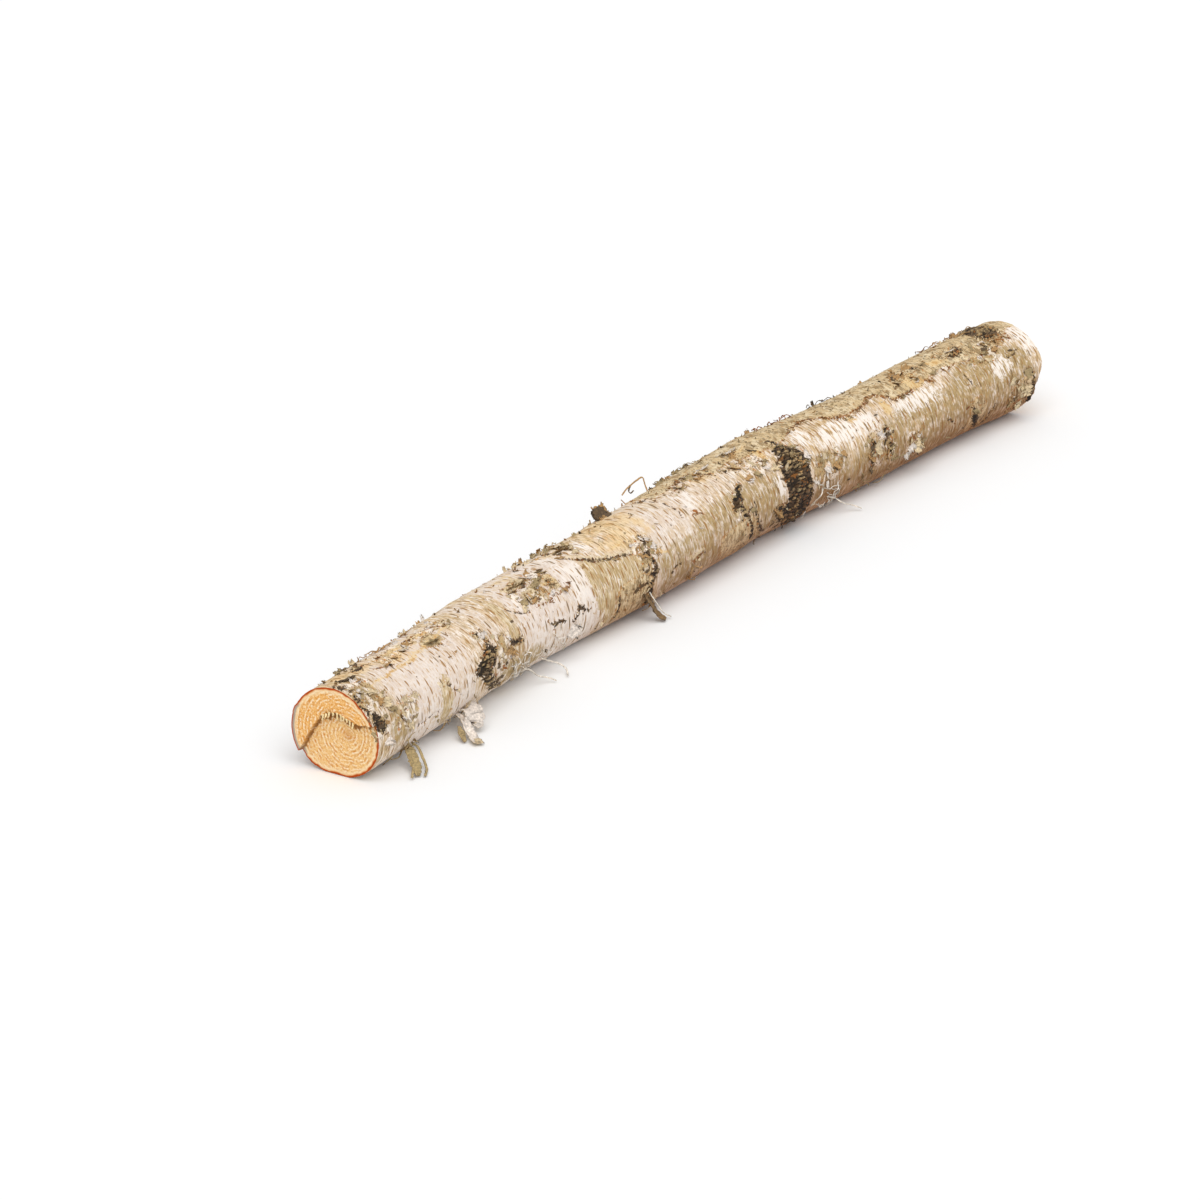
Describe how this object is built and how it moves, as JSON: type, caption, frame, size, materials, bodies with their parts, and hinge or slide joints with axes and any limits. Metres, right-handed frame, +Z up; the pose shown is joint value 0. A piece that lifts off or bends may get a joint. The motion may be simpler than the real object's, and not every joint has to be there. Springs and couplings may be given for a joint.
{
  "type": "birch log",
  "caption": "Slim sawn birch log lying on its side, slightly bowed, with papery white bark, dark branch scars, torn peels and a stepped saw cut.",
  "frame": {"origin": "on the surface the log rests on, under the middle of its box", "axes": "+X along the log, from the near end with the saw step to the far end; +Y to the side the log bows to; +Z up"},
  "size_m": [0.99, 0.1246, 0.0863],
  "materials": {
    "bark": "matt papery birch bark with dark scars, pale sawn ends"
  },
  "bodies": {
    "root": {"birch_log": "bark"}
  },
  "joints": []
}
